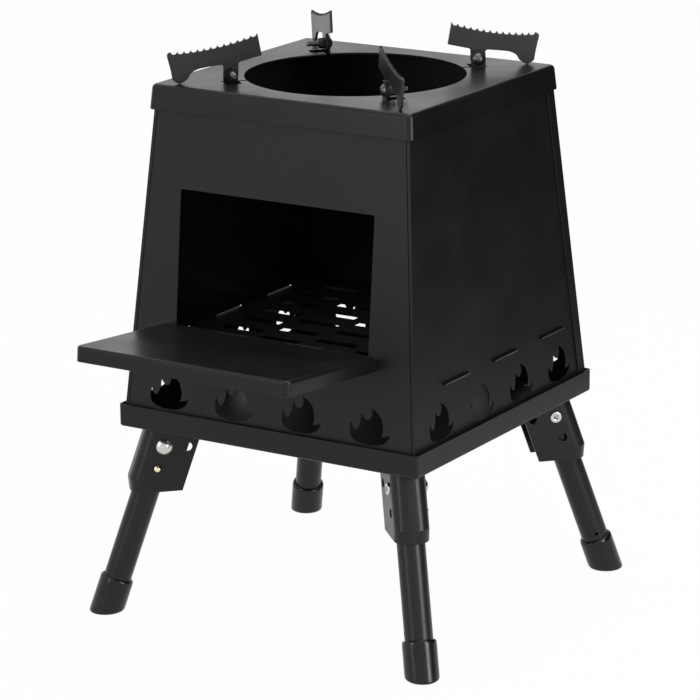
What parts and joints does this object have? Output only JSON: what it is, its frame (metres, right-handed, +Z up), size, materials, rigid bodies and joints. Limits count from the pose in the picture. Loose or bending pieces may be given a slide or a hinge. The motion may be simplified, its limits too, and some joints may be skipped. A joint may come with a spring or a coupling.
{
  "type": "folding wood stove",
  "caption": "Small black tent wood stove: leaning sheet steel firebox with fold-down fuel door, square tray on folding legs, loose top plate with fire hole and flip-over toothed pot supports.",
  "frame": {"origin": "middle of the overall footprint, open door included, at the ground", "axes": "+Z up, -Y the front with the open fuel door, +X to the right as seen from the front"},
  "size_m": [0.2936, 0.3726, 0.4206],
  "materials": {
    "body_black": "black heat-proof powder coat, fine satin grain",
    "grate_black": "black coat, dull",
    "leg_black": "black powder coat, satin",
    "support_black": "black coat over cut steel plate, satin",
    "zinc": "bright zinc plate",
    "dark_zinc": "dark plated steel",
    "brass": "plain brass, slightly dulled",
    "cap_plastic": "glossy black moulded plastic"
  },
  "bodies": {
    "stove_body": {"tray": "body_black", "front_panel": "body_black", "back_panel": "body_black", "left_panel": "body_black", "right_panel": "body_black", "grate": "grate_black", "door_hinge_pin": "zinc", "leg_bracket_1": "leg_black", "leg_bracket_2": "leg_black", "leg_bracket_3": "leg_black", "leg_bracket_4": "leg_black", "bracket_rivets": "zinc", "leg_pivot_rivets": "zinc"},
    "fuel_door": {"door": "body_black"},
    "lift_off_top": {"top_plate": "body_black", "support_screws": "dark_zinc", "support_nuts": "dark_zinc"},
    "leg_1": {"leg_tube_1": "leg_black", "foot_cap_1": "cap_plastic", "button_spring_1": "zinc"},
    "button_1": {"snap_button_1": "brass"},
    "support_1": {"pot_support_1": "support_black"},
    "leg_2": {"leg_tube_2": "leg_black", "foot_cap_2": "cap_plastic", "button_spring_2": "zinc"},
    "button_2": {"snap_button_2": "brass"},
    "support_2": {"pot_support_2": "support_black"},
    "leg_3": {"leg_tube_3": "leg_black", "foot_cap_3": "cap_plastic", "button_spring_3": "zinc"},
    "button_3": {"snap_button_3": "brass"},
    "support_3": {"pot_support_3": "support_black"},
    "leg_4": {"leg_tube_4": "leg_black", "foot_cap_4": "cap_plastic", "button_spring_4": "zinc"},
    "button_4": {"snap_button_4": "brass"},
    "support_4": {"pot_support_4": "support_black"}
  },
  "joints": [
    {"name": "door_hinge", "type": "hinge", "parent": "stove_body", "child": "fuel_door", "pos_m": [0, -0.07804, 0.2173], "axis": [-1, 0, 0], "range_deg": [0, 90.7]},
    {"name": "top_plate_lift", "type": "slide", "parent": "stove_body", "child": "lift_off_top", "axis": [0, 0, 1], "range_m": [0, 0.03]},
    {"name": "leg_fold_1", "type": "hinge", "parent": "stove_body", "child": "leg_1", "pos_m": [0.10324, 0.14283, 0.125], "axis": [-0.7071, 0.7071, 0], "range_deg": [0, 105]},
    {"name": "button_press_1", "type": "slide", "parent": "leg_1", "child": "button_1", "axis": [0.7071, -0.7071, 0], "range_m": [0, 0.0025], "stiffness_N_per_m": 400},
    {"name": "support_flip_1", "type": "hinge", "parent": "lift_off_top", "child": "support_1", "pos_m": [0.06378, 0.10337, 0.393], "axis": [0.7071, -0.7071, 0], "range_deg": [0, 185]},
    {"name": "leg_fold_2", "type": "hinge", "parent": "stove_body", "child": "leg_2", "pos_m": [-0.10324, 0.14283, 0.125], "axis": [-0.7071, -0.7071, 0], "range_deg": [0, 105]},
    {"name": "button_press_2", "type": "slide", "parent": "leg_2", "child": "button_2", "axis": [0.7071, 0.7071, 0], "range_m": [0, 0.0025], "stiffness_N_per_m": 400},
    {"name": "support_flip_2", "type": "hinge", "parent": "lift_off_top", "child": "support_2", "pos_m": [-0.06378, 0.10337, 0.393], "axis": [0.7071, 0.7071, 0], "range_deg": [0, 185]},
    {"name": "leg_fold_3", "type": "hinge", "parent": "stove_body", "child": "leg_3", "pos_m": [-0.10324, -0.06365, 0.125], "axis": [0.7071, -0.7071, 0], "range_deg": [0, 105]},
    {"name": "button_press_3", "type": "slide", "parent": "leg_3", "child": "button_3", "axis": [-0.7071, 0.7071, 0], "range_m": [0, 0.0025], "stiffness_N_per_m": 400},
    {"name": "support_flip_3", "type": "hinge", "parent": "lift_off_top", "child": "support_3", "pos_m": [-0.06378, -0.02419, 0.393], "axis": [-0.7071, 0.7071, 0], "range_deg": [0, 185]},
    {"name": "leg_fold_4", "type": "hinge", "parent": "stove_body", "child": "leg_4", "pos_m": [0.10324, -0.06365, 0.125], "axis": [0.7071, 0.7071, 0], "range_deg": [0, 105]},
    {"name": "button_press_4", "type": "slide", "parent": "leg_4", "child": "button_4", "axis": [-0.7071, -0.7071, 0], "range_m": [0, 0.0025], "stiffness_N_per_m": 400},
    {"name": "support_flip_4", "type": "hinge", "parent": "lift_off_top", "child": "support_4", "pos_m": [0.06378, -0.02419, 0.393], "axis": [-0.7071, -0.7071, 0], "range_deg": [0, 185]}
  ]
}
